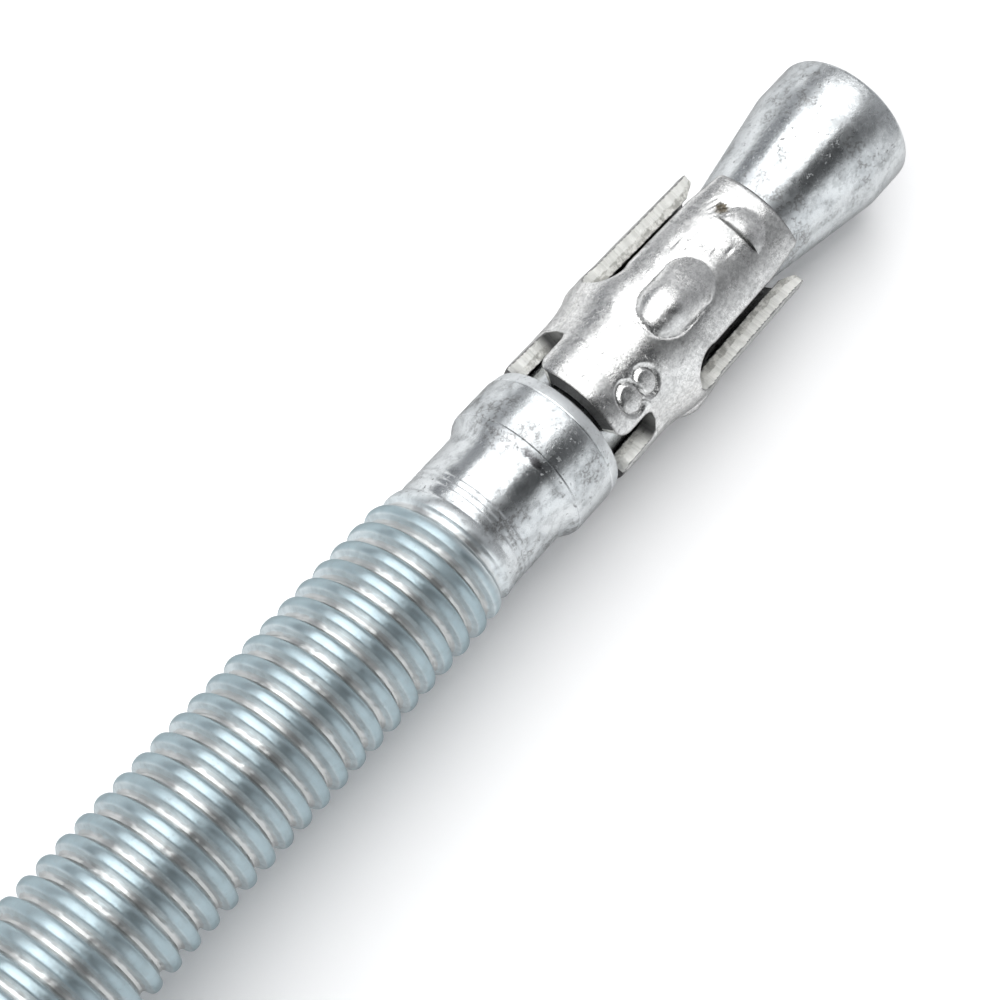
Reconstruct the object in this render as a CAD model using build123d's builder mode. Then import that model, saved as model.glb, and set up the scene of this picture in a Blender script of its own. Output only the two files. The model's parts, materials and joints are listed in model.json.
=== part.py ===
"""Wedge anchor (through-bolt), M8, lying at rest on its nose rim and its washer's rim.

The stud's cone is drawn back into a slotted sheet-metal clip, whose fingers then spread
against the wall of an 8 mm hole. The anchor's own axis runs from the nose to the thread end.
At rest it rises slightly towards the thread end, because the washer is wider than the nose.
All sizes are in millimetres. +X runs from the nose to the thread end, +Z is up, and the
origin is on the ground under the middle of the anchor.
"""

from build123d import *
from math import atan2, cos, radians, sin, tan
import os

# ---- Stud ------------------------------------------------------------------------------
stud_length = 75.0
nose_radius = 4.0           # the same size as the drilled hole
nose_land_length = 2.6      # cylindrical land behind the nose face
nose_bevel = 0.25           # on the rim of the nose face
cone_half_angle = 9.5       # degrees
neck_radius = 2.8
neck_length = 14.45
neck_flare = 0.2            # bevel where the neck meets the collar
collar_radius = 4.0
collar_length = 3.2
collar_bevel_length = 0.65
collar_bevel_depth = 0.15
collar_taper_length = 0.8
blank_radius = 3.525        # plain shank, at the thread's pitch size
blank_length = 3.3
thread_runout = 3.0         # length over which the thread grows to its full height
thread_radius = 3.92        # over the crests of an M8 coarse thread
thread_end_chamfer = 0.85

# ---- Expansion clip, formed from one strip of sheet --------------------------------------
sheet_thickness = 0.95
clip_length = 14.4
clip_neck_clearance = 0.15
clip_collar_gap = 0.6
tip_flare = 0.25            # how much wider the finger tips stand than the sleeve
root_flare = 0.35           # the same at the roots of the fingers
sleeve_bend_radius = 5.0
sleeve_bend_length = 2.3    # length over which the sleeve widens to the finger roots
finger_count = 3
clip_turn = 3.4             # degrees, how far the loose clip has turned from upright
finger_length = 8.9         # tip to the closed end of the slots between the fingers
slot_width = 2.2
slot_end_radius = 1.3       # relief at the closed end of each slot
tip_taper_length = 2.3
tip_taper = 0.35            # narrowing of each side of a finger towards its tip
tail_slot_width = 2.1
tail_slot_depth = 2.35
tail_slot_corner = 0.7
tail_corner_radius = 0.9
seam_gap = 0.9              # the two ends of the strip stay this far apart

# ---- Pressed features on each finger -----------------------------------------------------
bump_width = 2.9
bump_height = 0.42
bump_straight = 2.4         # between the centres of its two round ends
bump_station = 7.25         # middle of the bump, from the finger's tip
barb_width = 3.0
barb_height = 0.36
barb_station = 2.5          # open edge of the barb, from the finger's tip

# ---- Washer and nut ----------------------------------------------------------------------
washer_radius = 8.0
washer_bore_radius = 4.2
washer_thickness = 1.6
nut_sides = 6
nut_across_flats = 13.0
nut_height = 6.5
nut_bore_clearance = 0.05   # radial, over the thread crests
nut_bore_chamfer = 0.35
nut_face_radius = 6.2       # flat round face inside the chamfered corners
nut_corner_angle = 30.0     # degrees
stud_projection = 2.0       # thread left free beyond the nut

cut_margin = 0.5            # how far a cut runs on past the metal

# ---- Stations along the axis, from the nose face -----------------------------------------
cone_length = (nose_radius - neck_radius) / tan(radians(cone_half_angle))
neck_start = nose_land_length + cone_length
collar_start = neck_start + neck_length
collar_end = collar_start + collar_length
blank_start = collar_end + collar_taper_length
thread_start = blank_start + blank_length
full_thread_start = thread_start + thread_runout
clip_tail = collar_start - clip_collar_gap
clip_tip = clip_tail - clip_length
finger_root = clip_tip + finger_length
nut_back = stud_length - stud_projection
nut_front = nut_back - nut_height
washer_front = nut_front - washer_thickness

# ---- Radii that follow from the sizes above ----------------------------------------------
sleeve_radius = neck_radius + clip_neck_clearance + sheet_thickness
tip_radius = sleeve_radius + tip_flare
root_radius = sleeve_radius + root_flare
nut_bore_radius = thread_radius + nut_bore_clearance
nut_corner_radius = nut_across_flats / 2 / cos(radians(180 / nut_sides))

# ---- Resting attitude --------------------------------------------------------------------
# The back of the nose bevel and the front corner of the washer both touch the ground.
tilt = atan2(washer_radius - nose_radius, washer_front - nose_bevel)

along = Vector(cos(tilt), 0, sin(tilt))
upward = Vector(-sin(tilt), 0, cos(tilt))
sideways = along.cross(upward)

end_radius = thread_radius - thread_end_chamfer
foremost = -(nose_radius - nose_bevel) * sin(tilt)
rearmost = stud_length * cos(tilt) + end_radius * sin(tilt)
nose_height = nose_radius * cos(tilt) - nose_bevel * sin(tilt)
nose_centre = Vector(-(foremost + rearmost) / 2, 0, nose_height)

axis_line = Axis(nose_centre, along)
long_section = Plane(nose_centre, x_dir=along, z_dir=sideways)


def axis_point(station):
    """Point on the anchor's axis, at a distance from the nose face."""
    return nose_centre + along * station


def outward(turn):
    """Direction away from the axis, turned about it from upward by an angle in degrees."""
    return upward * cos(radians(turn)) + sideways * sin(radians(turn))


def facing_plane(station, turn):
    """Plane through the axis that faces outward, with its x along the axis."""
    return Plane(axis_point(station), x_dir=along, z_dir=outward(turn))


def cross_plane(station, turn=0):
    """Plane square to the axis, with its x pointing outward."""
    return Plane(axis_point(station), x_dir=outward(turn), z_dir=along)


def half_vault(rim, top, width):
    """Half of a round arch over a flat base, from its crown line to its rim."""
    Polyline((rim, -width / 2), (rim, 0), (top, 0))
    TangentArc((top, 0), (rim, -width / 2), tangent=(0, -1))


def vault(rim, top, width):
    """A round arch over a flat base, across its whole width."""
    Line((rim, -width / 2), (rim, width / 2))
    ThreePointArc((rim, width / 2), (top, 0), (rim, -width / 2))


# ---- Stud: nose, cone, neck, collar and threaded shank in one piece ----------------------
with BuildPart() as stud:
    with BuildSketch(long_section):
        with BuildLine():
            Polyline(
                (0, 0),
                (0, nose_radius - nose_bevel),
                (nose_bevel, nose_radius),
                (nose_land_length, nose_radius),
                (neck_start, neck_radius),
                (collar_start - neck_flare, neck_radius),
                (collar_start, neck_radius + neck_flare),
                (collar_start, collar_radius - collar_bevel_depth),
                (collar_start + collar_bevel_length, collar_radius),
                (collar_end, collar_radius),
                (blank_start, blank_radius),
                (thread_start, blank_radius),
                (full_thread_start, thread_radius),
                (stud_length - thread_end_chamfer, thread_radius),
                (stud_length, end_radius),
                (stud_length, 0),
                close=True,
            )
        make_face()
    revolve(axis=axis_line)
stud.part.label = "stud"

# ---- Expansion clip ----------------------------------------------------------------------
finger_pitch = 360 / finger_count
finger_turns = [clip_turn + number * finger_pitch for number in range(finger_count)]
gap_turns = [turn + finger_pitch / 2 for turn in finger_turns]
seam_turn = gap_turns[finger_count // 2]

bend_root = finger_root - slot_end_radius / 2
bend_sleeve = bend_root + sleeve_bend_length
outer_line = [
    (clip_tip, tip_radius),
    (bend_root, root_radius),
    (bend_sleeve, sleeve_radius),
    (clip_tail, sleeve_radius),
]
inner_line = [(station, radius - sheet_thickness) for station, radius in outer_line]
cut_reach = root_radius + cut_margin

with BuildPart() as expansion_clip:
    with BuildSketch(long_section):
        with BuildLine():
            Polyline(*outer_line, *reversed(inner_line), close=True)
        make_face()
        for bend in outer_line[1:3] + inner_line[1:3]:
            fillet(vertices().sort_by_distance(bend)[0], sleeve_bend_radius)
    revolve(axis=axis_line)

    # Slots between the fingers, opening wider at the tips
    for turn in gap_turns:
        with BuildSketch(facing_plane(finger_root, turn)):
            with BuildLine():
                straight_end = -finger_length + tip_taper_length
                mouth = slot_width / 2 + tip_taper
                Polyline(
                    (-slot_end_radius, slot_width / 2),
                    (straight_end, slot_width / 2),
                    (-finger_length, mouth),
                    (-finger_length - cut_margin, mouth),
                    (-finger_length - cut_margin, -mouth),
                    (-finger_length, -mouth),
                    (straight_end, -slot_width / 2),
                    (-slot_end_radius, -slot_width / 2),
                    close=True,
                )
            make_face()
            with Locations((-slot_end_radius, 0)):
                Circle(slot_end_radius)
        extrude(amount=cut_reach, mode=Mode.SUBTRACT)

    # Tail slots, with rounded inner corners and rounded corners at the tail edge
    for turn in gap_turns:
        with BuildSketch(facing_plane(clip_tail, turn)):
            with Locations((-tail_slot_depth / 2, 0)):
                Rectangle(tail_slot_depth, tail_slot_width)
            fillet(vertices().group_by(Axis.X)[0], tail_slot_corner)
            for side in (1, -1):
                edge = side * tail_slot_width / 2
                past_corner = edge + side * tail_corner_radius
                with Locations((-tail_corner_radius / 2, (edge + past_corner) / 2)):
                    Rectangle(tail_corner_radius, tail_corner_radius)
                with Locations((-tail_corner_radius, past_corner)):
                    Circle(tail_corner_radius, mode=Mode.SUBTRACT)
        extrude(amount=cut_reach, mode=Mode.SUBTRACT)

    # Seam where the two ends of the strip meet
    with BuildSketch(facing_plane(finger_root, seam_turn)):
        with Locations(((clip_tail - finger_root) / 2, 0)):
            Rectangle(clip_tail - finger_root + slot_end_radius, seam_gap)
    extrude(amount=cut_reach, mode=Mode.SUBTRACT)

    # Oval bumps, pressed out from inside: a vaulted middle with a round dome at each end
    bump_top = root_radius + bump_height
    bump_rim = root_radius - bump_height
    dimple_width = bump_width - sheet_thickness
    dimple_top = bump_top - sheet_thickness
    for turn in finger_turns:
        bump_middle = clip_tip + bump_station
        with BuildSketch(cross_plane(bump_middle, turn)):
            with BuildLine():
                vault(bump_rim, bump_top, bump_width)
            make_face()
        extrude(amount=bump_straight / 2, both=True)
        for end in (bump_middle - bump_straight / 2, bump_middle + bump_straight / 2):
            with BuildSketch(cross_plane(end, turn)):
                with BuildLine():
                    half_vault(bump_rim, bump_top, bump_width)
                make_face()
            revolve(axis=Axis(axis_point(end), outward(turn)))
        with BuildSketch(facing_plane(bump_middle, turn)):
            SlotCenterToCenter(bump_straight, dimple_width)
        extrude(amount=dimple_top, mode=Mode.SUBTRACT)

    # Half-round barbs, lanced so that their open edge faces the tail
    barb_top = tip_radius + barb_height
    barb_rim = tip_radius - barb_height
    for turn in finger_turns:
        barb_edge = clip_tip + barb_station
        with BuildSketch(cross_plane(barb_edge, turn)):
            with BuildLine():
                half_vault(barb_rim, barb_top, barb_width)
            make_face()
        revolve(axis=Axis(axis_point(barb_edge), outward(turn)), revolution_arc=180)
expansion_clip.part.label = "expansion_clip"

# ---- Washer ------------------------------------------------------------------------------
with BuildPart() as washer:
    with BuildSketch(cross_plane(washer_front)):
        Circle(washer_radius)
        Circle(washer_bore_radius, mode=Mode.SUBTRACT)
    extrude(amount=washer_thickness)
washer.part.label = "washer"

# ---- Hexagon nut, with its corners turned to 30 degrees at both faces --------------------
corner_reach = nut_corner_radius + cut_margin
corner_drop = (corner_reach - nut_face_radius) * tan(radians(nut_corner_angle))

with BuildPart() as hex_nut:
    with BuildSketch(cross_plane(nut_front)):
        flat_turn = 180 / nut_sides
        RegularPolygon(nut_across_flats / 2, nut_sides, major_radius=False, rotation=flat_turn)
    extrude(amount=nut_height)
    with BuildSketch(long_section):
        with BuildLine():
            Polyline(
                (nut_front, 0),
                (nut_front, nut_face_radius),
                (nut_front + corner_drop, corner_reach),
                (nut_back - corner_drop, corner_reach),
                (nut_back, nut_face_radius),
                (nut_back, 0),
                close=True,
            )
        make_face()
    revolve(axis=axis_line, mode=Mode.INTERSECT)
    with BuildSketch(cross_plane(nut_front)):
        Circle(nut_bore_radius)
    extrude(amount=nut_height, mode=Mode.SUBTRACT)
    bore_edges = edges().filter_by(GeomType.CIRCLE).group_by(SortBy.RADIUS)[0]
    chamfer(bore_edges, nut_bore_chamfer)
hex_nut.part.label = "hex_nut"

# ---- One STEP file for each piece --------------------------------------------------------
os.makedirs("parts", exist_ok=True)
export_step(stud.part, "parts/stud.step")
export_step(expansion_clip.part, "parts/expansion_clip.step")
export_step(washer.part, "parts/washer.step")
export_step(hex_nut.part, "parts/hex_nut.step")
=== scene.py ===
"""Looks of the wedge anchor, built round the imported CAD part: a threaded stud, a slotted clip,
a washer and a nut, on a white studio floor.

Lengths are in millimetres along and round the anchor's own axis, and place() turns them into
metres in the shared frame. Stations run from the nose face towards the thread end. Places on
the clip are given by q, from its finger tips, and by side, round its outside from the middle
of a finger.
"""

import json
from functools import reduce
from math import atan, cos, pi, radians, sin, sqrt, tan

import bmesh
import bpy
import numpy as np
from mathutils import Matrix, Vector


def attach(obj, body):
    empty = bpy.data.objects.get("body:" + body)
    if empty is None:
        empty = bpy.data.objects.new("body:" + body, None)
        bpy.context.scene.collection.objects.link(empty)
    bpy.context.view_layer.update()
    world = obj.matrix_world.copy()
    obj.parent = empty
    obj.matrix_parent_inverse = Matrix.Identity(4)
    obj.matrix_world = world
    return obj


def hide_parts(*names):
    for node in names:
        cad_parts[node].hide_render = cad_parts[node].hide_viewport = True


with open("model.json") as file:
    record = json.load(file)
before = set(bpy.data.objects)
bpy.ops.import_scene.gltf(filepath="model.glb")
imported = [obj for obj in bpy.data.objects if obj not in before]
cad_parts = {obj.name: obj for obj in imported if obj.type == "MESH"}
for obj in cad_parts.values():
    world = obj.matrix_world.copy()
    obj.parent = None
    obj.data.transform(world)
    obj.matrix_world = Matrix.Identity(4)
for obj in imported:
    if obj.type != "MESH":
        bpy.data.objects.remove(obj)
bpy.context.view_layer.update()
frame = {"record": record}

MM = 0.001
TURN = 2 * pi

# ---- The anchor's own axis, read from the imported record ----
stud_length = 75.0
mounts = {mount["name"]: mount for mount in frame["record"]["mounts"]}
along = Vector(mounts["thread_end"]["axis"]).normalized()
upward = Vector((-along.z, 0, along.x))
sideways = along.cross(upward)
nose_centre = Vector(mounts["thread_end"]["pos_m"]) - along * stud_length * MM

# ---- Stud: driving sizes ----
nose_radius = 4.0
nose_rounding = 0.28
nose_land = 2.6
cone_half_angle = 9.5        # degrees
neck_radius = 2.8
neck_length = 14.45
collar_radius = 4.0
collar_length = 3.2
collar_taper_length = 0.8
rim_width = 0.68             # pale bevelled rim of the collar, towards the clip
blank_radius = 3.525
blank_length = 3.3
runout_length = 2.779        # over which the thread grows to its full height
end_radius = 3.07
end_bevel = 0.85

# ---- Stud: stations ----
cone_length = (nose_radius - neck_radius) / tan(radians(cone_half_angle))
neck_start = round(nose_land + cone_length, 3)
collar_start = neck_start + neck_length
collar_end = collar_start + collar_length
blank_start = collar_end + collar_taper_length
thread_start = blank_start + blank_length
thread_full = thread_start + runout_length

# ---- Stud: rings of its fine forms, as (mm past a station, radius) ----
collar_front = [
    (-0.25, neck_radius), (-0.06, neck_radius + 0.06), (0, neck_radius + 0.25),
    (0, 3.6), (0, 3.78), (0.03, 3.83), (0.09, 3.865),
    (rim_width - 0.06, 3.965), (rim_width, 3.93), (rim_width + 0.05, 3.985), (0.85, collar_radius),
]
collar_back = [
    (-0.2, collar_radius), (-0.07, 3.99), (-0.02, 3.94), (0.03, 3.95), (0.1, 3.93), (0.4, 3.74),
]
blank_front = [(-0.08, 3.56), (0.15, blank_radius), (0.6, blank_radius - 0.01)]
neck_rings = (14.0, 20.0)             # stations of rings on the plain stretches
collar_ring = 26.2
blank_ring = 30.0
turned_lines = (0.88, 0.55, 0.22)     # mm before the thread's start
turned_line_half = 0.15
turned_line_depth = 0.016             # half of the whole depth
taper_blotch_spot = (collar_end + 0.3, -0.15, 0.26, 1.2)   # a dark blotch on the collar's taper: station, mm round the collar and both half sizes

# ---- Thread, an M8 coarse one ----
pitch = 1.25
crest_station = 24.832       # where a crest would cross the line turned to upward
crest_radius = 3.92
crest_half = 0.32            # half width of the rounded crest
crest_drop = 0.17            # height of the crest's rounding
root_half = 0.19             # half of the flat at the bottom of each groove
root_fillet = 0.11
flank_angle = 17.0           # degrees, each flank from square to the axis
worn_depth = 0.006           # how much lower the full thread stands than its form
root_roughness = 0.018
crest_roughness = 0.006
root_reach = 0.16            # how far up the flanks the look of the roots reaches
crest_reach = 0.17           # and how far down the look of the crests does
reach_fade = 0.12

# ---- Clip: driving sizes ----
finger_count = 3
clip_length = 14.4
clip_collar_gap = 0.6
clip_turn = 2.3              # degrees
sheet = 0.95
tip_radius = 4.15
finger_root_radius = 4.25
sleeve_radius = 3.9
sleeve_bend_length = 3.4     # over which the sleeve widens to the roots of the fingers
finger_length = 8.9
slot_half = 1.2
slot_end_radius = 1.3
tip_taper_length = 2.3
tip_taper = 0.35             # narrowing of each side of the front finger towards its tip
hidden_tip_taper = 0.05      # the same on the other fingers
tip_corner = 0.25
tip_lead_length = 0.95       # bevel inside each finger tip, which rides up the cone
tip_lead = 0.45
tail_slot_half = 1.05
tail_slot_depth = 2.55
tail_slot_corner = 0.7
tail_corner = 0.9
seam_half = 0.45

# ---- Clip: pressed and worn forms ----
bump_middle = 7.25
bump_half_run = 0.9
bump_half_width = 1.43
bump_height = 0.6
bump_rise = 3.2              # over which the bump reaches its full height
moat_depth = 0.05            # of the faint hollow round it
barb_edge = 2.36
barb_side = -0.14
barb_half_width = 1.45
barb_height = 0.24
dimple_share = 0.68          # width of the dents behind the bump and the barb, against theirs
edge_roll = 0.07             # how far the sheet rolls off at its cut edges
slot_swell = 0.17            # how far it swells beside the closed ends of the slots
tail_draw = 0.16             # how far it is drawn in beside the tail slots
stamp_depth = 0.13
nick_depth = 0.03
pit_depth = 0.09

# Ovals as (q, side, half size along q, half size along side)
digit_loops = [(11.4, -1.93, 0.63, 0.82), (12.64, -1.95, 0.68, 0.94)]
nicks = [
    (4.03, 0.76, 0.34, 0.09), (3.53, -0.43, 0.28, 0.1), (4.1, 0.1, 0.22, 0.08), (5.0, 1.9, 0.4, 0.06),
]
stained_pit = (1.82, 1.36, 0.5, 0.5)
grime = (2.1, 1.9, 1.3, 0.4)

# ---- Clip: stations and angles ----
clip_tip = collar_start - clip_collar_gap - clip_length
half_share = pi / finger_count        # half of a finger's share of the turn
slot_centre = finger_length - slot_end_radius
tail_start = clip_length - tail_slot_depth
bump_start = bump_middle - bump_half_run - bump_half_width
front_columns = 104                   # points across the front finger, and across each other one
hidden_columns = 46

# ---- Washer and nut ----
stud_projection = 2.0        # thread left free beyond the nut
nut_height = 6.5
nut_half_flats = 6.5
nut_face_radius = 6.2
nut_chamfer_angle = 30.0     # degrees
nut_corner_rounding = 0.3
nut_bore_mouth = 4.32
nut_mouth_slope = 0.8        # mm along the axis for each mm that the mouth narrows
nut_minor_radius = 3.35
thread_gap = 0.04
nut_back = stud_length - stud_projection
nut_front = nut_back - nut_height
washer_thickness = 1.6
washer_front = nut_front - washer_thickness
washer_radius = 8.0
washer_bore = 4.2
washer_rounding = 0.25       # of the rim on the front face
washer_mouth = 0.2           # rounding of the hole there
washer_rings = (5.0, 7.0)    # plain rings on both faces


# ---- Small helpers ----
def as_array(vector):
    return np.array(vector[:], float)


def place(station, radius, turn):
    """Points in the shared frame, in metres. Turn is in radians from upward towards sideways."""
    station, radius, turn = np.broadcast_arrays(station, radius, turn)
    outward = np.cos(turn)[..., None] * as_array(upward) + np.sin(turn)[..., None] * as_array(sideways)
    off = station[..., None] * as_array(along) + radius[..., None] * outward
    return as_array(nose_centre) + off * MM


def ripple(a, b, size, seed):
    """Smooth unevenness from -1 to 1, from waves of about one size crossing each other."""
    waves = 7
    rng = np.random.default_rng(seed)
    total = 0.0
    for _ in range(waves):
        heading, phase = rng.uniform(0, TURN, 2)
        length = size * rng.uniform(0.6, 1.6)
        total = total + np.sin((a * cos(heading) + b * sin(heading)) * TURN / length + phase)
    return total / (waves / 2)


def ease(x):
    """0 below 0 and 1 above 1, with a smooth rise between."""
    x = np.clip(x, 0, 1)
    return x * x * (3 - 2 * x)


def band(x, middle, half):
    """1 at the middle of a soft band, falling to 0 on both sides."""
    return np.exp(-(((x - middle) / half) ** 2))


def spot(a, b, oval):
    """1 at the middle of a soft oval, falling to 0 around it."""
    centre_a, centre_b, half_a, half_b = oval
    return np.exp(-(((a - centre_a) / half_a) ** 2) - ((b - centre_b) / half_b) ** 2)


def dome(distance, half_width, height):
    """Height of a round cap over a flat base."""
    curve = (half_width**2 + height**2) / (2 * height)
    inside = np.clip(curve**2 - distance**2, (curve - height) ** 2, None)
    return np.sqrt(inside) - (curve - height)


def turns_of(sides):
    """Angles round the axis of a skin with so many sides."""
    return np.arange(sides) * TURN / sides


def arc(centre, radius, start, end, steps):
    """Points on an arc in the long section; angles in degrees from the thread end towards outward."""
    return [
        (centre[0] + radius * cos(radians(a)), centre[1] + radius * sin(radians(a)))
        for a in np.linspace(start, end, steps)
    ]


# ---- Mesh helpers ----
def finish_mesh(name, points, faces, sharp, layers=None):
    """A mesh object from points and faces, with coincident points joined. Sharp is in degrees."""
    mesh = bpy.data.meshes.new(name)
    mesh.from_pydata(points.tolist(), [], faces.tolist())
    for layer, values in (layers or {}).items():
        attribute = mesh.attributes.new(layer, "FLOAT", "POINT")
        attribute.data.foreach_set("value", np.asarray(values, np.float32))
    shell = bmesh.new()
    shell.from_mesh(mesh)
    bmesh.ops.remove_doubles(shell, verts=shell.verts, dist=2e-7)
    bmesh.ops.recalc_face_normals(shell, faces=shell.faces)
    shell.to_mesh(mesh)
    shell.free()
    mesh.shade_smooth()
    mesh.set_sharp_from_angle(angle=radians(sharp))
    piece = bpy.data.objects.new(name, mesh)
    bpy.context.scene.collection.objects.link(piece)
    return piece


def round_skin(rows, follow, turns):
    """Points and faces of a skin closed round the axis, where row i meets row follow[i] after a turn."""
    stations = np.array([row[0] for row in rows])
    radii = np.array([row[1] for row in rows])
    points = place(stations, radii, turns[None, :])
    count, sides = stations.shape
    index = np.arange(count * sides).reshape(count, sides)
    nxt = np.empty_like(index)
    nxt[:, :-1] = index[:, 1:]
    nxt[:, -1] = index[np.asarray(follow), 0]
    faces = np.stack([index[:-1], nxt[:-1], nxt[1:], index[1:]], -1).reshape(-1, 4)
    return points.reshape(-1, 3), faces


def even_rows(profile, sides):
    """Rows at one station each, from (station, radius) pairs."""
    return [(np.full(sides, station), np.full(sides, radius)) for station, radius in profile]


def screw_rows(start, end, samples, turns, radius_of):
    """Rows that follow the thread between two stations.

    radius_of takes the place within a pitch, the station and the turn.
    """
    first = int(np.floor((start - crest_station) / pitch)) - 2
    last = int(np.ceil((end - crest_station) / pitch)) + 2
    rows = []
    for number in range(first, last):
        for sample in samples:
            station = crest_station + pitch * (number + turns / TURN) + sample
            station = np.clip(station, start, end)
            rows.append((station, radius_of(sample, station, turns)))
    return rows


# ---- Thread form ----
flank_slope = 1 / tan(radians(flank_angle))
crest_steepness = flank_slope * crest_half / crest_drop
crest_touch = crest_half * crest_steepness / sqrt(1 + crest_steepness**2)
flank_top = crest_radius - crest_drop * (1 - 1 / sqrt(1 + crest_steepness**2))
root_edge = pitch / 2 - root_half
thread_root_radius = flank_top - flank_slope * (root_edge - crest_touch)


def thread_form(x):
    """Radius of the rolled thread at a place x from the nearest crest's middle."""
    x = abs(x)
    if x <= crest_touch:
        return crest_radius - crest_drop * (1 - sqrt(1 - (x / crest_half) ** 2))
    flank = flank_top - flank_slope * (x - crest_touch)
    if x < root_edge - root_fillet:
        return flank
    past = min((x - root_edge + root_fillet) / (2 * root_fillet), 1)
    return thread_root_radius + root_fillet * flank_slope * (1 - past) ** 2


crest_side = [crest_touch * share for share in (0.32, 0.62, 0.85, 0.96, 1.0)]
root_side = [root_edge - root_fillet / 2, root_edge, root_edge + root_fillet, pitch / 2 - root_half / 3]
one_side = crest_side + root_side
form_samples = [-x for x in reversed(one_side)] + [0.0] + one_side


# ---- Stud ----
def nose_profile():
    """The face with its rounded rim, the land and the cone."""
    rim_start = nose_radius - nose_rounding
    profile = [(0, radius) for radius in (0, 0.3 * nose_radius, 0.6 * nose_radius, rim_start - 0.1)]
    profile += arc((nose_rounding, rim_start), nose_rounding, 180, 90, 6)
    profile += [(nose_land * 0.5, nose_radius), (nose_land - 0.14, nose_radius)]
    profile.append((nose_land, nose_radius - 0.006))
    slope = (nose_radius - neck_radius) / (neck_start - nose_land)
    for station in np.linspace(nose_land + 0.16, neck_start, 12):
        profile.append((station, nose_radius - slope * (station - nose_land)))
    return profile


def middle_profile():
    """The neck, the collar with its rim and its taper, and the plain shank with its turned lines."""
    profile = [(station, neck_radius) for station in neck_rings]
    profile += [(collar_start + past, radius) for past, radius in collar_front]
    profile.append((collar_ring, collar_radius))
    profile += [(collar_end + past, radius) for past, radius in collar_back]
    profile += [(blank_start + past, radius) for past, radius in blank_front]
    profile.append((blank_ring, blank_radius))
    for before in turned_lines:
        for part in (-1, -0.5, 0, 0.5, 1):
            depth = turned_line_depth * (1 + cos(pi * part))
            profile.append((thread_start - before + turned_line_half * part, blank_radius - depth))
    profile += [(thread_start - 0.05, blank_radius), (thread_start, blank_radius)]
    return profile


def stud_thread_radius(sample, station, turns):
    """The thread's form, grown over its run-out, slightly rough and cut off by the end's chamfer."""
    form = thread_form(sample)
    grown = ease((station - thread_start) / (thread_full - thread_start)) ** 0.8
    around = turns * crest_radius
    if form < thread_root_radius + 0.09:
        rough = root_roughness * ripple(station * 2, around, 0.7, 5)
    else:
        rough = crest_roughness * ripple(station * 2, around, 1.1, 6)
    bevel = end_radius + (stud_length - station) * (crest_radius - end_radius) / end_bevel
    return np.minimum(blank_radius + (form - blank_radius + rough - worn_depth) * grown, bevel)


def stud_layers(stations, radii, around):
    """What the stud's material reads: where the metal is rolled, and its roots, crests, dark blotch on
    the taper and rim.
    """
    rolled = ease((stations - thread_start) / 2.2)
    return {
        "rolled": rolled,
        "root": rolled * ease((thread_root_radius + root_reach - radii) / reach_fade),
        "crest": rolled * ease((radii - crest_radius + crest_reach) / reach_fade),
        "taper_blotch": spot(stations, around * collar_radius, taper_blotch_spot),
        "rim": ease((collar_start + rim_width - stations) / 0.05) * (stations >= collar_start - 0.01),
    }


def build_stud():
    """The whole stud as one skin, whose thread rows each meet the row one pitch on after a turn."""
    sides = 120
    turns = turns_of(sides)
    lead = even_rows(nose_profile() + middle_profile(), sides)
    screw = screw_rows(thread_start, stud_length, form_samples, turns, stud_thread_radius)
    end = even_rows([(stud_length, radius) for radius in (end_radius, 2.9, 1.5, 0)], sides)
    rows = lead + screw + end
    last = len(lead) + len(screw) - 1
    follow = list(range(len(lead)))
    follow += [min(len(lead) + number + len(form_samples), last) for number in range(len(screw))]
    follow += list(range(last + 1, len(rows)))
    points, faces = round_skin(rows, follow, turns)
    stations = np.array([row[0] for row in rows]).ravel()
    radii = np.array([row[1] for row in rows]).ravel()
    around = (np.tile(turns, len(rows)) + pi) % TURN - pi
    return finish_mesh("threaded_stud", points, faces, 35, stud_layers(stations, radii, around))


# ---- Clip ----
def gap_half(q, seam, taper):
    """Half of the gap between two fingers at q, in mm on the outside, at the slots and at the tail."""
    gap = 0.0
    if q <= finger_length:
        reach = 0
        if q > slot_centre - slot_end_radius:
            reach = sqrt(max(slot_end_radius**2 - (q - slot_centre) ** 2, 0))
        gap = reach if q >= slot_centre else max(reach, slot_half)
        gap += taper * max(1 - q / tip_taper_length, 0)
        if q < tip_corner:
            gap += tip_corner - sqrt(tip_corner**2 - (tip_corner - q) ** 2)
    if q >= tail_start:
        into = q - tail_start
        gap = tail_slot_half
        if into < tail_slot_corner:
            gap += sqrt(max(tail_slot_corner**2 - (tail_slot_corner - into) ** 2, 0)) - tail_slot_corner
        past = q - (clip_length - tail_corner)
        if past > 0:
            gap += tail_corner - sqrt(max(tail_corner**2 - past**2, 0))
    return max(gap, seam_half) if seam else gap


def clip_outside(q):
    """Radius of the clip's outside before the bumps."""
    flare = tip_radius + (finger_root_radius - tip_radius) * ease(q / (finger_length - 0.4))
    return flare + (sleeve_radius - flare) * ease((q - finger_length + 1.2) / sleeve_bend_length)


def pressed(q, side, width_share=1.0):
    """Height of the oval bump, with a shallow moat round it, and of the lanced barb."""
    run = np.clip(q - bump_middle, -bump_half_run, bump_half_run)
    from_spine = np.hypot(q - bump_middle - run, side)
    rising = 0.3 + 0.7 * ease((q - bump_start) / bump_rise)
    bump = dome(from_spine, bump_half_width * width_share, bump_height) * rising
    moat = moat_depth * rising * band(from_spine, bump_half_width + 0.05, 0.09)
    barb = dome(np.hypot(q - barb_edge, side - barb_side), barb_half_width * width_share, barb_height)
    return bump - moat + np.where(q <= barb_edge + 1e-6, barb, 0)


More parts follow.
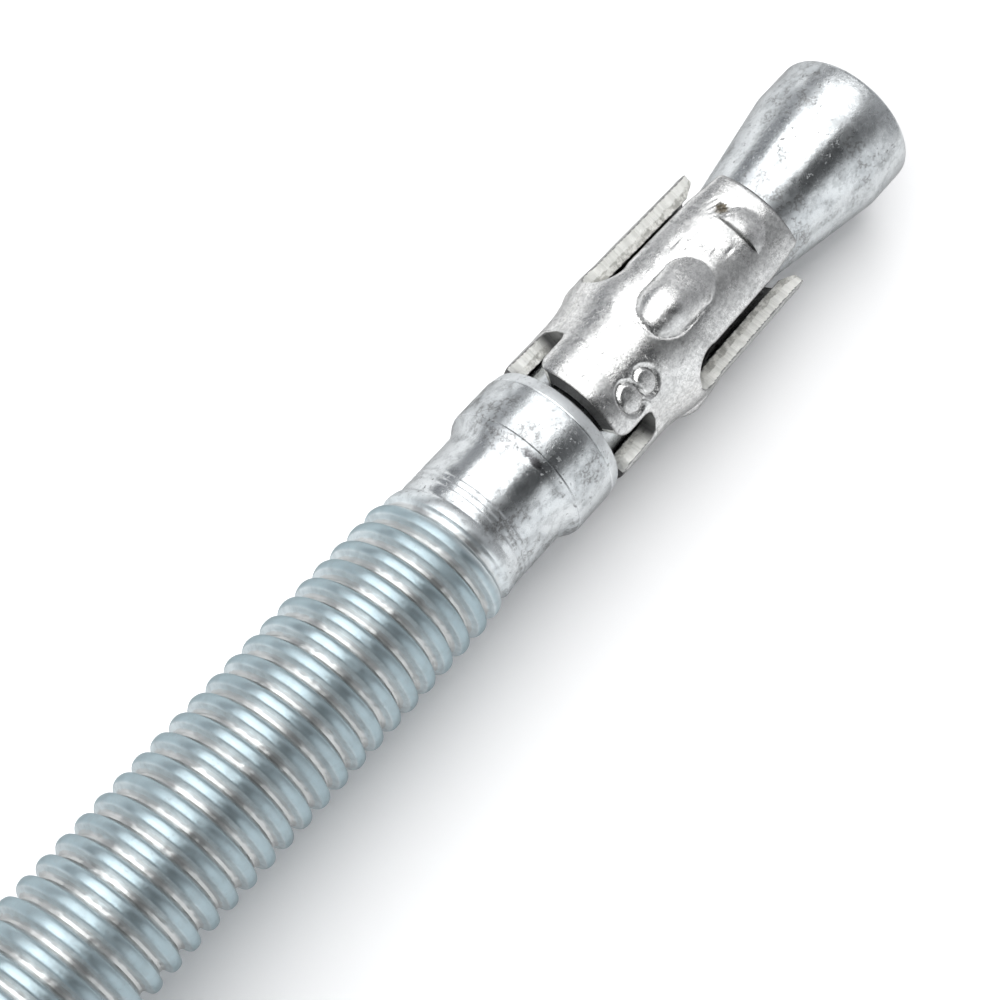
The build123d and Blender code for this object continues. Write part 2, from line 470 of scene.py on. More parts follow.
def stamped(q, side):
    """Depth, from 0 to 1, of the stamped figure 8 for the nominal size, as two joined loops."""
    cut = 0.0
    for centre_q, centre_side, half_q, half_side in digit_loops:
        ring = np.hypot((q - centre_q) / half_q, (side - centre_side) / half_side)
        cut = np.maximum(cut, band((ring - 1) * (half_q + half_side) / 2, 0, 0.12))
    return cut


def cosine(start, end, count):
    """Stations bunched towards the end value."""
    return list(end + (start - end) * (1 - np.sin(np.linspace(0, pi / 2, count))))


def clip_stations():
    """Stations along the clip, bunched at its tips, at the barb's edge and where the slots turn."""
    tail_bend = tail_start + tail_slot_corner
    q = cosine(tip_corner, 0, 7) + list(np.linspace(0.32, tip_lead_length, 6))
    q += list(np.linspace(1.08, barb_edge, 14)) + [barb_edge + past for past in (0.012, 0.06, 0.1)]
    q += list(np.linspace(2.5, slot_centre, 62))
    q += cosine(slot_centre, finger_length, 16)
    q += list(np.linspace(finger_length + 0.12, tail_start - 0.05, 42)) + [tail_start]
    q += [tail_bend - x for x in cosine(tail_slot_corner, 0, 9)[1:]]
    q += list(np.linspace(tail_bend, clip_length - tail_corner, 14))
    q += cosine(clip_length - tail_corner, clip_length, 12)
    return np.unique(np.round(np.array(q), 5))


def edge_spread(count):
    """Places across a finger from 0 to 1, bunched near both edges."""
    inner = np.linspace(-0.965, 0.965, count)
    return (np.concatenate([[-1, -0.992, -0.98], inner, [0.98, 0.992, 1]]) + 1) / 2


class Skin:
    """Collects blocks of points, the faces between them and the values that the material reads."""

    def __init__(self, layers):
        self.points = []
        self.faces = []
        self.layers = {name: [] for name in layers}
        self.count = 0

    def add(self, block, **values):
        """Takes a block of points and returns their numbers. Layers that aren't named are 0 on it."""
        shape = block.shape[:2]
        index = np.arange(self.count, self.count + shape[0] * shape[1]).reshape(shape)
        self.points.append(block.reshape(-1, 3))
        for name, collected in self.layers.items():
            collected.append(np.broadcast_to(values.get(name, 0.0), shape).ravel())
        self.count += index.size
        return index

    def quads(self, index, keep=None, flip=False):
        """Faces of a block, or those of its rows that are kept."""
        cells = np.stack([index[:-1, :-1], index[:-1, 1:], index[1:, 1:], index[1:, :-1]], -1)
        if keep is not None:
            cells = cells[keep]
        cells = cells.reshape(-1, 4)
        self.faces.append(cells[:, ::-1] if flip else cells)

    def finish(self, name, sharp):
        joined = {layer: np.concatenate(values) for layer, values in self.layers.items()}
        return finish_mesh(name, np.concatenate(self.points), np.concatenate(self.faces), sharp, joined)


class Finger:
    """One finger with its share of the sleeve: where its points stand, and how far from its edges."""

    def __init__(self, number, stations):
        self.number = number
        self.front = number == 0
        self.stations = stations
        self.middle = radians(clip_turn + number * 360 / finger_count)
        # the seam of the strip lies between the two fingers behind
        self.low = self.reach(number == 2)
        self.high = self.reach(number == 1)
        across = edge_spread(front_columns if self.front else hidden_columns)
        self.angle = -self.low[:, None] + (self.low + self.high)[:, None] * across[None, :]
        self.q = np.broadcast_to(stations[:, None], self.angle.shape)
        self.side = self.angle * finger_root_radius
        self.from_slot = half_share - np.abs(self.angle)
        # a side is open where a gap parts it from the next finger
        self.low_open = self.low < half_share - 1e-4
        self.high_open = self.high < half_share - 1e-4
        self.from_edge = self.distance_to_edge()

    def reach(self, seam):
        """Angle from the finger's middle to one of its edges, at each station."""
        taper = tip_taper if self.front else hidden_tip_taper
        gaps = np.array([gap_half(q, seam, taper) for q in self.stations])
        return half_share - gaps / finger_root_radius

    def distance_to_edge(self):
        """Distance of each point from the nearest cut edge, where there is one."""
        far = 9
        low, high = self.low[:, None], self.high[:, None]
        from_low = np.where(self.low_open[:, None], (self.angle + low) * finger_root_radius, far)
        from_high = np.where(self.high_open[:, None], (high - self.angle) * finger_root_radius, far)
        from_ends = np.minimum(self.q, clip_length - self.q)
        return np.minimum(np.minimum(from_low, from_high), from_ends)

    def swell(self):
        """How far the sheet swells beside the closed ends of the slots."""
        beside_slot = band(self.from_slot, 0, radians(34))
        return slot_swell * beside_slot * band(self.q, finger_length - 0.1, 1.1)

    def unevenness(self):
        """Slight waves of the sheet, which fade out where it meets the next finger's share."""
        broad = 0.014 * ripple(self.q, self.side, 3.1, 11 + self.number)
        small = 0.004 * ripple(self.q, self.side, 0.9, 31 + self.number)
        return (broad + small) * ease(self.from_slot / radians(8))


def outside_radius(finger, cut, pit):
    """Radius of a finger's outer skin."""
    q, side = finger.q, finger.side
    height = pressed(q, side)
    if finger.front:
        height = height - nick_depth * sum(spot(q, side, nick) for nick in nicks)
        height = height - pit_depth * pit * (0.6 + 0.6 * ripple(q, side, 0.3, 77))
    from_notch = np.hypot(q - tail_start, finger.from_slot * finger_root_radius)
    drawn = tail_draw * band(from_notch, 0, 0.75)
    rolled = edge_roll * np.exp(-finger.from_edge / 0.09)
    form = clip_outside(q) + height + finger.unevenness() + finger.swell()
    return form - rolled - drawn - stamp_depth * cut


def add_outside(skin, finger):
    """Adds a finger's outer skin and returns its radii."""
    q, side = finger.q, finger.side
    cut = pit = stain = np.zeros_like(q)
    if finger.front:
        cut = stamped(q, side)
        pit = spot(q, side, stained_pit)
        stain = np.maximum(pit, 0.5 * spot(q, side, grime))
    radius = outside_radius(finger, cut, pit)
    # painted shade: a dark line just behind the barb's edge, where its step would cast a shadow, and a
    # darker outline along the cut edges
    barb_shadow = band(q, barb_edge + 0.04, 0.05)
    barb_shadow = barb_shadow * ease((barb_half_width - np.abs(side - barb_side)) / 0.3)
    shade = np.maximum(0.85 * barb_shadow, 0.75 * band(finger.from_edge, 0, 0.1))
    points = place(clip_tip + q, radius, finger.middle + finger.angle)
    skin.quads(skin.add(points, shade=shade, cut=cut, stain=stain, run=q))
    return radius


def add_inside(skin, finger):
    """Adds a finger's inner skin, with the dents behind its pressed forms, and returns its radii."""
    q = finger.q
    dimple = pressed(q, finger.side, dimple_share) * (q > barb_edge + 0.3)
    lead = tip_lead * np.clip(1 - q / tip_lead_length, 0, 1)
    radius = clip_outside(q) - sheet + lead + finger.swell() + dimple
    points = place(clip_tip + q, radius, finger.middle + finger.angle)
    # the whole inner skin is darkened with painted shade
    skin.quads(skin.add(points, shade=0.9), flip=True)
    return radius


# Cut faces run through the sheet at these shares of its thickness
depths = np.array([0.0, 0.06, 0.2, 0.36, 0.5, 0.64, 0.8, 0.94, 1.0])
shear = 0.001 + (1 - depths) * 0.998        # 1 at the outside, and just over 0 at the inside


def add_sides(skin, finger, outer, inner):
    """Adds the cut faces along both sides of a finger, where there is a slot, a notch or the seam."""
    q = finger.stations[:, None]
    # painted shade on the cut faces near the closed ends of the tail slots
    painted_notch_shade = band(q, tail_start + 0.25, 0.45)
    rough = 0.018 * ripple(q, depths[None, :] * 2, 0.5, 51 + finger.number)
    rough = rough * (depths * (1 - depths) * 4)[None, :]
    for column, edge, is_open in ((0, -finger.low, finger.low_open), (-1, finger.high, finger.high_open)):
        outer_edge, inner_edge = outer[:, column][:, None], inner[:, column][:, None]
        radius = outer_edge + (inner_edge - outer_edge) * depths[None, :]
        angle = edge[:, None] + rough / finger_root_radius * is_open[:, None]
        points = place(clip_tip + q, radius, finger.middle + angle)
        index = skin.add(points, shear=shear[None, :], shade=painted_notch_shade, run=q)
        skin.quads(index, is_open[:-1] | is_open[1:], flip=column == 0)


def add_ends(skin, finger, outer, inner):
    """Adds the cut faces at a finger's tip and at the tail."""
    # painted shade darkens both end faces, the tail's almost to black
    for row, shade in ((0, 0.8), (-1, 0.97)):
        radius = outer[row][None, :] + (inner[row] - outer[row])[None, :] * depths[:, None]
        station = np.full_like(radius, clip_tip + finger.stations[row])
        points = place(station, radius, finger.middle + finger.angle[row][None, :])
        index = skin.add(points, shear=shear[:, None], shade=shade, run=finger.side[row][None, :])
        skin.quads(index, flip=row == 0)


def build_clip():
    """The strip of sheet as three fingers, each with its share of the sleeve."""
    skin = Skin(("shear", "shade", "cut", "stain", "run"))
    stations = clip_stations()
    for number in range(finger_count):
        finger = Finger(number, stations)
        outer = add_outside(skin, finger)
        inner = add_inside(skin, finger)
        add_sides(skin, finger, outer, inner)
        add_ends(skin, finger, outer, inner)
    return skin.finish("slotted_clip", 32)


# ---- Washer ----
def build_washer():
    """A plain ring, rounded at the rim and at the hole on its front face."""
    sides = 160
    front, back = washer_front, nut_front
    edge = 0.06
    rim = (front + washer_rounding, washer_radius - washer_rounding)
    mouth = (front + washer_mouth, washer_bore + washer_mouth)
    profile = arc(rim, washer_rounding, 180, 90, 6)
    profile += [(front + 0.8, washer_radius), (back - edge, washer_radius - 0.01)]
    profile.append((back, washer_radius - edge))
    profile += [(back, ring) for ring in reversed(washer_rings)]
    profile += [(back, washer_bore + edge), (back - edge, washer_bore), (front + 0.8, washer_bore)]
    profile += arc(mouth, washer_mouth, 270, 180, 6)
    profile += [(front, ring) for ring in washer_rings]
    profile.append(profile[0])
    rows = even_rows(profile, sides)
    points, faces = round_skin(rows, range(len(rows)), turns_of(sides))
    return finish_mesh("flat_washer", points, faces, 35)


# ---- Nut ----
def hexagon_radius(turns):
    """Distance from the axis to a hexagon with rounded corners."""
    half_flat = TURN / 12
    from_flat = (turns + half_flat) % (2 * half_flat) - half_flat
    from_corner = half_flat - np.abs(from_flat)
    inner = nut_half_flats - nut_corner_rounding
    centre = inner / cos(half_flat)
    limit = half_flat - atan(inner * tan(half_flat) / nut_half_flats)
    inside = np.clip(nut_corner_rounding**2 - (centre * np.sin(from_corner)) ** 2, 0, None)
    rounded = centre * np.cos(from_corner) + np.sqrt(inside)
    return np.where(from_corner < limit, rounded, nut_half_flats / np.cos(from_flat))


def nut_face(station, sense, hexagon):
    """Rows of one end face, from the bore to the first row of the flats."""
    flat = np.ones_like(hexagon)
    drop = (hexagon - nut_face_radius) * tan(radians(nut_chamfer_angle))
    return [
        (station * flat, nut_bore_mouth * flat),
        (station * flat, 5.2 * flat),
        (station * flat, (nut_face_radius - 0.04) * flat),
        ((station + sense * 0.012) * flat, (nut_face_radius + 0.03) * flat),
        (station + sense * drop * 0.5, nut_face_radius + (hexagon - nut_face_radius) * 0.5),
        (station + sense * (drop - 0.03), hexagon - 0.035),
        (station + sense * (drop + 0.04), hexagon),
    ]


def nut_thread_radius(sample, station, turns):
    """The nut's thread, which clears the stud's and opens at both mouths."""
    form = max(thread_form(sample) + thread_gap, nut_minor_radius)
    from_face = np.minimum(station - nut_front, nut_back - station)
    return np.maximum(form, nut_bore_mouth - from_face / nut_mouth_slope)


def build_nut():
    """A hexagon with chamfered corners and a threaded bore, as one skin."""
    sides = 240
    turns = turns_of(sides)
    hexagon = hexagon_radius(turns)
    samples = form_samples[::2]
    outer = nut_face(nut_front, 1, hexagon) + nut_face(nut_back, -1, hexagon)[::-1]
    bore = screw_rows(nut_front, nut_back, samples, turns, nut_thread_radius)[::-1]
    lead = len(outer)
    follow = list(range(lead)) + [lead + max(number - len(samples), 0) for number in range(len(bore))]
    points, faces = round_skin(outer + bore, follow, turns)
    return finish_mesh("threaded_nut", points, faces, 30)


# ---- Materials ----
class Nodes:
    """A small hand for writing node trees. Scales of noise are in waves a metre."""

    def __init__(self, tree):
        self.tree = tree
        tree.nodes.clear()

    def new(self, kind, **settings):
        node = self.tree.nodes.new(kind)
        for key, value in settings.items():
            setattr(node, key, value)
        return node

    def link(self, source, target):
        self.tree.links.new(source, target)

    def feed(self, socket, value):
        """Sets a socket to a plain value, or links it to another node's output."""
        if isinstance(value, (int, float, tuple)):
            socket.default_value = value
        else:
            self.link(value, socket)

    def noise(self, vector, scale, detail=4.0, roughness=0.55):
        node = self.new("ShaderNodeTexNoise")
        self.feed(node.inputs["Scale"], scale)
        self.feed(node.inputs["Detail"], detail)
        self.feed(node.inputs["Roughness"], roughness)
        self.link(vector, node.inputs["Vector"])
        return node.outputs["Fac"]

    def span(self, value, low, high, start=0.0, end=1.0):
        """Maps low to high smoothly onto start to end."""
        node = self.new("ShaderNodeMapRange", interpolation_type="SMOOTHSTEP")
        limits = {"From Min": low, "From Max": high, "To Min": start, "To Max": end}
        for name, limit in limits.items():
            self.feed(node.inputs[name], limit)
        self.link(value, node.inputs["Value"])
        return node.outputs["Result"]

    def math(self, operation, *operands):
        node = self.new("ShaderNodeMath", operation=operation)
        for socket, value in zip(node.inputs, operands):
            self.feed(socket, value)
        return node.outputs[0]

    def times(self, first, second):
        return self.math("MULTIPLY", first, second)

    def less(self, first, second):
        """The first value less the second."""
        return self.math("SUBTRACT", first, second)

    def total(self, *values):
        return reduce(lambda first, second: self.math("ADD", first, second), values)

    def mix(self, factor, first, second):
        """The first colour where the factor is 0, and the second where it is 1."""
        node = self.new("ShaderNodeMix", data_type="RGBA")
        for number, value in ((0, factor), (6, first), (7, second)):
            self.feed(node.inputs[number], value)
        return node.outputs[2]

    def mix_shaders(self, factor, first, second):
        node = self.new("ShaderNodeMixShader")
        for socket, value in zip(node.inputs, (factor, first.outputs[0], second.outputs[0])):
            self.link(value, socket)
        return node

    def bump(self, height, distance, strength, below=None):
        """Relief of a height, in metres, over the relief below it."""
        node = self.new("ShaderNodeBump")
        self.feed(node.inputs["Strength"], strength)
        self.feed(node.inputs["Distance"], distance)
        self.link(height, node.inputs["Height"])
        if below:
            self.link(below, node.inputs["Normal"])
        return node.outputs["Normal"]

    def attribute(self, name):
        return self.new("ShaderNodeAttribute", attribute_name=name).outputs["Fac"]

    def place_in_piece(self):
        return self.new("ShaderNodeTexCoord").outputs["Object"]


def metal(name):
    """An empty metal: its material, its nodes and its shader, ready to be linked."""
    material = bpy.data.materials.new(name)
    material.use_nodes = True
    nodes = Nodes(material.node_tree)
    shader = nodes.new("ShaderNodeBsdfPrincipled")
    output = nodes.new("ShaderNodeOutputMaterial")
    nodes.link(shader.outputs[0], output.inputs["Surface"])
    nodes.feed(shader.inputs["Metallic"], 1.0)
    nodes.feed(shader.inputs["Specular Tint"], (0.45, 0.45, 0.45, 1))
    return material, nodes, shader


def stud_colour(nodes, where, cloud, pits):
    """Clouded zinc, cooler and darker on the thread, with cracks, a dark blotch on the taper, bare roots
    and a pale rim.
    """
    rolled, crest, root, rim = (nodes.attribute(name) for name in ("rolled", "crest", "root", "rim"))
    bare = nodes.mix(cloud, (0.68, 0.705, 0.715, 1), (0.53, 0.555, 0.57, 1))
    plated = nodes.mix(cloud, (0.74, 0.8, 0.82, 1), (0.62, 0.685, 0.71, 1))
    # painted shade: the crests take a darker colour, which damps their highlight
    colour = nodes.mix(rolled, bare, nodes.mix(crest, plated, (0.375, 0.465, 0.5, 1)))
    mottle = nodes.span(nodes.noise(where, 1700, 7, 0.72), 0.45, 0.62, 0, 0.4)
    mottle = nodes.times(mottle, nodes.span(rolled, 0, 1, 1, 0.4))
    colour = nodes.mix(mottle, colour, (0.27, 0.285, 0.29, 1))
    line = nodes.math("ABSOLUTE", nodes.less(nodes.noise(where, 1300, 6, 0.7), 0.5))
    worn = nodes.span(nodes.noise(where, 420, 6, 0.75), 0.5, 0.6)
    crack = nodes.times(nodes.span(line, 0.0, 0.05, 1, 0), worn)
    crack = nodes.times(crack, nodes.span(rolled, 0, 1, 0.7, 0))
    colour = nodes.mix(crack, colour, (0.15, 0.14, 0.135, 1))
    # a noisy dark blotch on the collar's taper, just past its crease
    taper_blotch = nodes.times(nodes.attribute("taper_blotch"), nodes.noise(where, 2600, 6, 0.75))
    colour = nodes.mix(nodes.span(taper_blotch, 0.2, 0.4), colour, (0.1, 0.1, 0.105, 1))
    ragged = nodes.total(root, nodes.times(nodes.noise(where, 2600), 0.9))
    ragged = nodes.times(nodes.span(ragged, 0.75, 1.1), root)
    colour = nodes.mix(ragged, colour, (0.55, 0.56, 0.555, 1))
    colour = nodes.mix(nodes.times(rim, 0.45), colour, (0.86, 0.885, 0.895, 1))
    return nodes.mix(nodes.times(pits, 0.65), colour, (0.16, 0.16, 0.16, 1))


def stud_roughness(nodes, cloud, pits, fine):
    """Rougher in the clouds and pits, on the rim and on the thread, most of all on its flanks."""
    rolled, crest, root, rim = (nodes.attribute(name) for name in ("rolled", "crest", "root", "rim"))
    flank = nodes.less(nodes.less(rolled, crest), root)
    shares = ((rolled, 0.1), (crest, 0.03), (rim, 0.17), (flank, 0.08), (pits, 0.3), (fine, 0.06))
    return nodes.total(nodes.span(cloud, 0, 1, 0.2, 0.32), *(nodes.times(*share) for share in shares))


def stud_zinc():
    """Bright, slightly blue zinc with cloudy patches and fine pits, bluer and duller on the thread."""
    material, nodes, shader = metal("stud_zinc")
    where = nodes.place_in_piece()
    cloud = nodes.span(nodes.noise(where, 420, 6, 0.62), 0.38, 0.66)
    fine = nodes.noise(where, 3000, 4, 0.6)
    broad = nodes.noise(where, 330, 3, 0.5)
    fleck = nodes.span(nodes.noise(where, 4600, 5, 0.6), 0.6, 0.68)
    pits = nodes.times(fleck, nodes.span(broad, 0.46, 0.6))
    pits = nodes.times(pits, nodes.span(nodes.attribute("rolled"), 0, 1, 1, 0.2))
    nodes.link(stud_colour(nodes, where, cloud, pits), shader.inputs["Base Color"])
    nodes.link(stud_roughness(nodes, cloud, pits, fine), shader.inputs["Roughness"])
    wavy = nodes.bump(broad, 0.00006, 0.5)
    grain = nodes.bump(fine, 0.000014, 0.6, wavy)
    nodes.link(nodes.bump(nodes.less(1.0, pits), 0.00001, 0.5, grain), shader.inputs["Normal"])
    return material


def sheet_colour(nodes, where, cloud, grain, speck, stain):
    """Colour of the rolled faces of the clip's sheet."""
    face = nodes.mix(cloud, (0.86, 0.86, 0.85, 1), (0.72, 0.725, 0.72, 1))
    face = nodes.mix(nodes.span(grain, 0.4, 0.64, 0, 0.6), face, (0.42, 0.425, 0.42, 1))
    powder = nodes.span(nodes.noise(where, 9500, 3, 0.6), 0.45, 0.62, 0, 0.35)
    face = nodes.mix(powder, face, (0.33, 0.33, 0.33, 1))
    face = nodes.mix(nodes.times(speck, 0.6), face, (0.2, 0.2, 0.2, 1))
    # painted shade: the stamped figure's groove is drawn darker
    face = nodes.mix(nodes.times(nodes.attribute("cut"), 0.35), face, (0.3, 0.3, 0.295, 1))
    return nodes.mix(stain, face, (0.13, 0.115, 0.09, 1))


def torn_colour(nodes, where, shear, stroke, rough_tone):
    """Colour of the cut edges: bright where they are sheared, dull and mottled where they are torn."""
    ragged = nodes.times(nodes.noise(where, 1500, 5, 0.65), 0.6)
    torn = nodes.span(nodes.total(shear, ragged), 0.7, 0.8, 1, 0)
    bright = nodes.mix(stroke, (0.88, 0.88, 0.85, 1), (0.76, 0.76, 0.73, 1))
    dull = nodes.mix(nodes.span(rough_tone, 0.4, 0.6), (0.42, 0.415, 0.39, 1), (0.76, 0.755, 0.72, 1))
    return nodes.mix(torn, bright, dull)


def drawn_strokes(nodes):
    """Strokes across the cut edges, about three to a millimetre and each as deep as the sheet."""
    lines = nodes.new("ShaderNodeTexNoise", noise_dimensions="1D")
    nodes.feed(lines.inputs["Scale"], 3.0)
    nodes.feed(lines.inputs["Detail"], 5.0)
    nodes.link(nodes.attribute("run"), lines.inputs["W"])
    return nodes.span(lines.outputs["Fac"], 0.35, 0.65)


def clip_zinc():
    """Satin galvanised sheet, with bare torn edges and a stained pit; painted shade darkens the stamped
    lines, the inside, both ends, the notches, the barb's edge and the cut edges.
    """
    material, nodes, shader = metal("clip_zinc")
    where = nodes.place_in_piece()
    cloud = nodes.span(nodes.noise(where, 620, 6, 0.68), 0.35, 0.68)
    grain = nodes.noise(where, 4200, 5, 0.7)
    speck = nodes.span(nodes.noise(where, 2600, 6, 0.7), 0.6, 0.68)
    stain = nodes.times(nodes.attribute("stain"), nodes.noise(where, 5200, 5, 0.8))
    stain = nodes.span(stain, 0.2, 0.42)
    shear = nodes.attribute("shear")
    is_edge = nodes.span(shear, 0.0, 0.001, 0, 1)
    stroke = drawn_strokes(nodes)
    rough_tone = nodes.noise(where, 2600, 5, 0.7)
    face = sheet_colour(nodes, where, cloud, grain, speck, stain)
    edge = torn_colour(nodes, where, shear, stroke, rough_tone)
    # painted shade: the layer of painted shade draws the colour towards near black
    colour = nodes.mix(nodes.attribute("shade"), nodes.mix(is_edge, face, edge), (0.06, 0.06, 0.06, 1))
    nodes.link(colour, shader.inputs["Base Color"])
    nodes.link(nodes.span(is_edge, 0, 1, 1, 0.3), shader.inputs["Metallic"])
    smooth = nodes.span(cloud, 0, 1, 0.23, 0.34)
    rough = nodes.total(smooth, nodes.times(is_edge, 0.2), nodes.times(stain, 0.3))
    nodes.link(rough, shader.inputs["Roughness"])
    wavy = nodes.bump(nodes.noise(where, 900, 4, 0.6), 0.00003, 0.5)
    pitted = nodes.bump(grain, 0.00002, 0.6, wavy)
    pitted = nodes.bump(nodes.less(1.0, speck), 0.000012, 0.5, pitted)
    rugged = nodes.times(nodes.total(rough_tone, nodes.times(stroke, 0.3)), is_edge)
    nodes.link(nodes.bump(rugged, 0.00007, 0.9, pitted), shader.inputs["Normal"])
    return material


def plated_zinc(name, light, dark, smoothest):
    """Plain bright zinc for the washer and the nut."""
    material, nodes, shader = metal(name)
    where = nodes.place_in_piece()
    cloud = nodes.span(nodes.noise(where, 380, 6, 0.6), 0.36, 0.66)
    fine = nodes.noise(where, 2400, 4, 0.6)
    nodes.link(nodes.mix(cloud, light, dark), shader.inputs["Base Color"])
    rough = nodes.total(nodes.span(cloud, 0, 1, smoothest, smoothest + 0.12), nodes.times(fine, 0.08))
    nodes.link(rough, shader.inputs["Roughness"])
    wavy = nodes.bump(nodes.noise(where, 300, 3, 0.5), 0.00005, 0.5)
    nodes.link(nodes.bump(fine, 0.000015, 0.5, wavy), shader.inputs["Normal"])
    return material


def dress(piece, material, body, node):
    """Gives a piece its material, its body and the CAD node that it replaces."""
    piece.data.materials.append(material)
    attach(piece, body)
    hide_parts(node)


# ---- Camera, at the photograph's viewpoint ----
picture_side = 1000.0        # pixels
focal_length = 2592.07       # pixels
sensor_width = 36.0
nose_depth = 135.695         # from the camera to the nose centre, along the view
nose_pixel = (844.0, 120.1)
axis_heading = 132.727       # degrees, of the anchor in the picture, clockwise from the right
axis_lean = 21.815           # degrees, of the anchor out of the picture's plane, towards the camera


def camera_axes():
    """The picture's right, down and forward in the shared frame, from how the anchor lies in it."""
    heading = (cos(radians(axis_heading)), sin(radians(axis_heading)))
    lean = (cos(radians(axis_lean)), sin(radians(axis_lean)))
    seen_along = (lean[0] * heading[0], lean[0] * heading[1], -lean[1])
    seen_upward = (-lean[1] * heading[0], -lean[1] * heading[1], -lean[0])
    seen_sideways = (-heading[1], heading[0], 0)
    return [
        along * seen_along[i] + upward * seen_upward[i] + sideways * seen_sideways[i] for i in range(3)
    ]


def make_camera():
    """The camera that sees the nose centre at its pixel, at its depth."""
    right, down, forward = camera_axes()
    offset = [(pixel - picture_side / 2) / focal_length * nose_depth for pixel in nose_pixel]
    data = bpy.data.cameras.new("camera")
    data.sensor_width = sensor_width
    data.lens = focal_length * sensor_width / picture_side
    data.clip_start = 0.005
    data.clip_end = 5
    camera = bpy.data.objects.new("camera", data)
    matrix = Matrix((right, -down, -forward)).transposed().to_4x4()
    matrix.translation = nose_centre - (right * offset[0] + down * offset[1] + forward * nose_depth) * MM
    camera.matrix_world = matrix
    bpy.context.scene.collection.objects.link(camera)
    bpy.context.scene.camera = camera


# ---- Stage and light, in metres ----
floor_half = 1.2
floor_drop = 0.00002         # keeps the floor just clear of the nose and the washer
floor_fade = (0.12, 0.24)    # from the middle, where the paper turns into plain white

lamp_distance = 0.5
lamp_turn = 28               # degrees, from upward towards sideways
lamp_aim = nose_centre + along * 30 * MM


def seen_directly(nodes):
    """1 for what the camera sees, straight or mirrored in metal, and 0 for light that is scattered on."""
    path = nodes.new("ShaderNodeLightPath")
    mirrored = nodes.math("MAXIMUM", path.outputs["Is Glossy Ray"], path.outputs["Is Transmission Ray"])
    return nodes.math("MAXIMUM", path.outputs["Is Camera Ray"], mirrored)


def paper():
    """White paper. The camera and mirrored views see it a little brighter, and plain white far off."""
    material = bpy.data.materials.new("floor")
    material.use_nodes = True
    nodes = Nodes(material.node_tree)
    where = nodes.place_in_piece()
    tone = nodes.noise(where, 90)
    plain = nodes.new("ShaderNodeBsdfDiffuse")
    nodes.link(nodes.mix(tone, (0.92, 0.92, 0.92, 1), (0.91, 0.91, 0.915, 1)), plain.inputs["Color"])
    lift = nodes.new("ShaderNodeBsdfDiffuse")
    nodes.link(nodes.mix(tone, (0.13, 0.13, 0.13, 1), (0.12, 0.12, 0.12, 1)), lift.inputs["Color"])
    lifted = nodes.new("ShaderNodeAddShader")
    nodes.link(plain.outputs[0], lifted.inputs[0])
    nodes.link(lift.outputs[0], lifted.inputs[1])
    reach = nodes.new("ShaderNodeVectorMath", operation="LENGTH")
    nodes.link(where, reach.inputs[0])
    white = nodes.new("ShaderNodeEmission")
    nodes.feed(white.inputs["Color"], (1, 1, 1, 1))
    seen = nodes.mix_shaders(nodes.span(reach.outputs["Value"], *floor_fade), lifted, white)
    shown = nodes.mix_shaders(seen_directly(nodes), plain, seen)
    nodes.link(shown.outputs[0], nodes.new("ShaderNodeOutputMaterial").inputs["Surface"])
    return material


def make_floor():
    """A square sheet of paper on the ground."""
    half = floor_half
    mesh = bpy.data.meshes.new("floor")
    corners = [(-half, -half, 0), (half, -half, 0), (half, half, 0), (-half, half, 0)]
    mesh.from_pydata(corners, [], [(0, 1, 2, 3)])
    floor = bpy.data.objects.new("floor", mesh)
    floor.location.z = -floor_drop
    bpy.context.scene.collection.objects.link(floor)
    mesh.materials.append(paper())


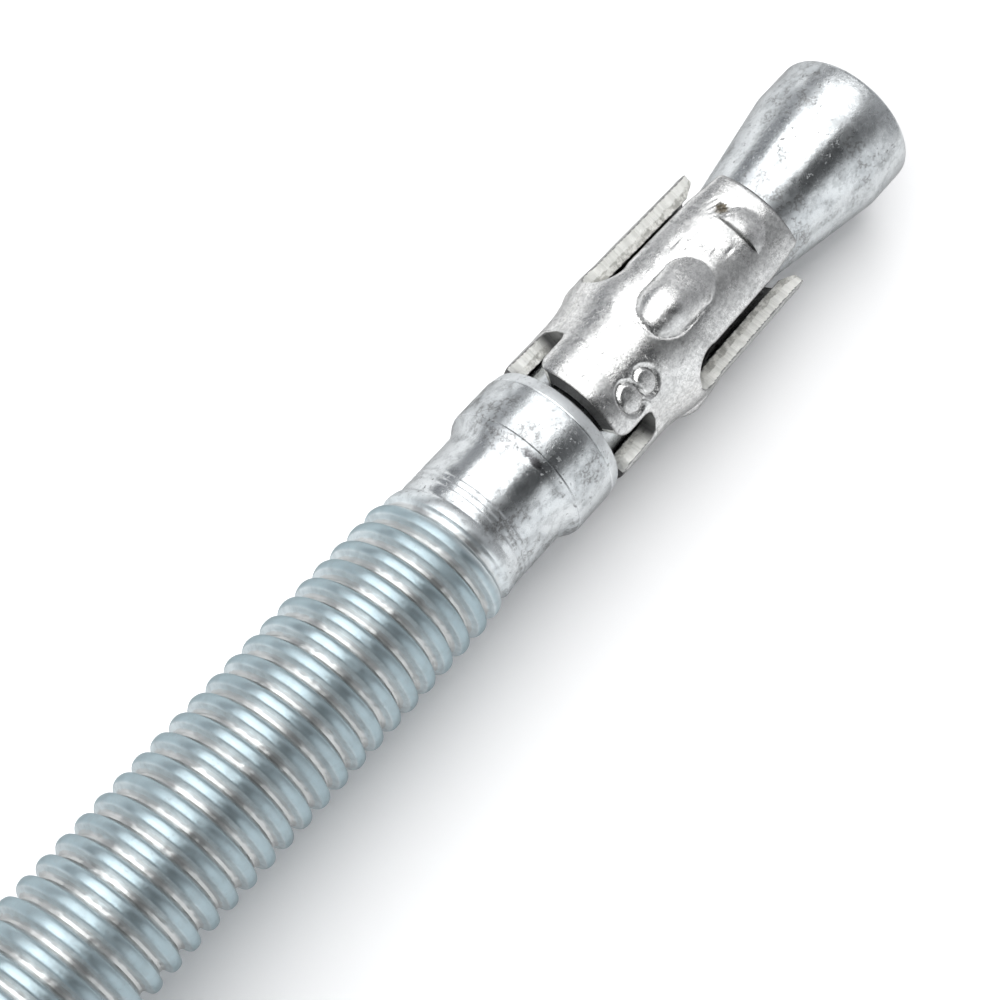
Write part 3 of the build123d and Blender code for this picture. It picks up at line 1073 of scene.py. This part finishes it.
def softbox(name, lean, size, strength):
    """A rectangular lamp that faces the anchor.

    Lean is in degrees towards the nose, and strength in watts a square metre of lamp.
    """
    outward = upward * cos(radians(lamp_turn)) + sideways * sin(radians(lamp_turn))
    direction = outward * cos(radians(lean)) - along * sin(radians(lean))
    side = along.cross(direction).normalized()
    up = direction.cross(side)
    data = bpy.data.lights.new(name, "AREA")
    data.shape = "RECTANGLE"
    data.size, data.size_y = size
    data.energy = strength * size[0] * size[1]
    lamp = bpy.data.objects.new(name, data)
    facing = Matrix((up, side, direction)).transposed().to_4x4()
    lamp.matrix_world = Matrix.Translation(lamp_aim + direction * lamp_distance) @ facing
    bpy.context.scene.collection.objects.link(lamp)


def make_world():
    """A dim room, pale where the shadow falls, grey opposite and past the nose. The camera sees white."""
    world = bpy.data.worlds.new("studio")
    bpy.context.scene.world = world
    world.use_nodes = True
    nodes = Nodes(world.node_tree)
    heading = nodes.new("ShaderNodeTexCoord").outputs["Generated"]

    def towards(direction):
        dot = nodes.new("ShaderNodeVectorMath", operation="DOT_PRODUCT")
        nodes.link(heading, dot.inputs[0])
        dot.inputs[1].default_value = direction[:]
        return dot.outputs["Value"]

    pale_side = nodes.span(towards(sideways), -0.84, -0.54, 1, 0)
    grey_side = nodes.span(towards(sideways), 0.6, 0.9)
    nose_side = nodes.span(towards(-along), 0.44, 0.64)
    room = nodes.mix(pale_side, (0.05, 0.052, 0.055, 1), (1.2, 1.22, 1.24, 1))
    room = nodes.mix(grey_side, room, (0.3, 0.31, 0.33, 1))
    room = nodes.mix(nose_side, room, (0.46, 0.465, 0.48, 1))
    white = nodes.new("ShaderNodeBackground")
    nodes.feed(white.inputs["Color"], (1, 1, 1, 1))
    studio = nodes.new("ShaderNodeBackground")
    nodes.link(room, studio.inputs["Color"])
    shown = nodes.mix_shaders(nodes.new("ShaderNodeLightPath").outputs["Is Camera Ray"], studio, white)
    nodes.link(shown.outputs[0], nodes.new("ShaderNodeOutputWorld").inputs["Surface"])


# ---- The scene ----
dress(build_stud(), stud_zinc(), "stud", "stud")
dress(build_clip(), clip_zinc(), "clip", "expansion_clip")
washer_look = plated_zinc("washer_zinc", (0.66, 0.69, 0.71, 1), (0.56, 0.59, 0.61, 1), 0.24)
dress(build_washer(), washer_look, "washer", "washer")
nut_look = plated_zinc("nut_zinc", (0.67, 0.7, 0.72, 1), (0.58, 0.61, 0.64, 1), 0.2)
dress(build_nut(), nut_look, "nut", "hex_nut")

make_camera()
make_floor()
softbox("key", -28, (0.5, 0.5), 9.2)
softbox("fill", 18, (0.4, 0.54), 7.2)
make_world()
bpy.context.scene.view_settings.view_transform = "Standard"
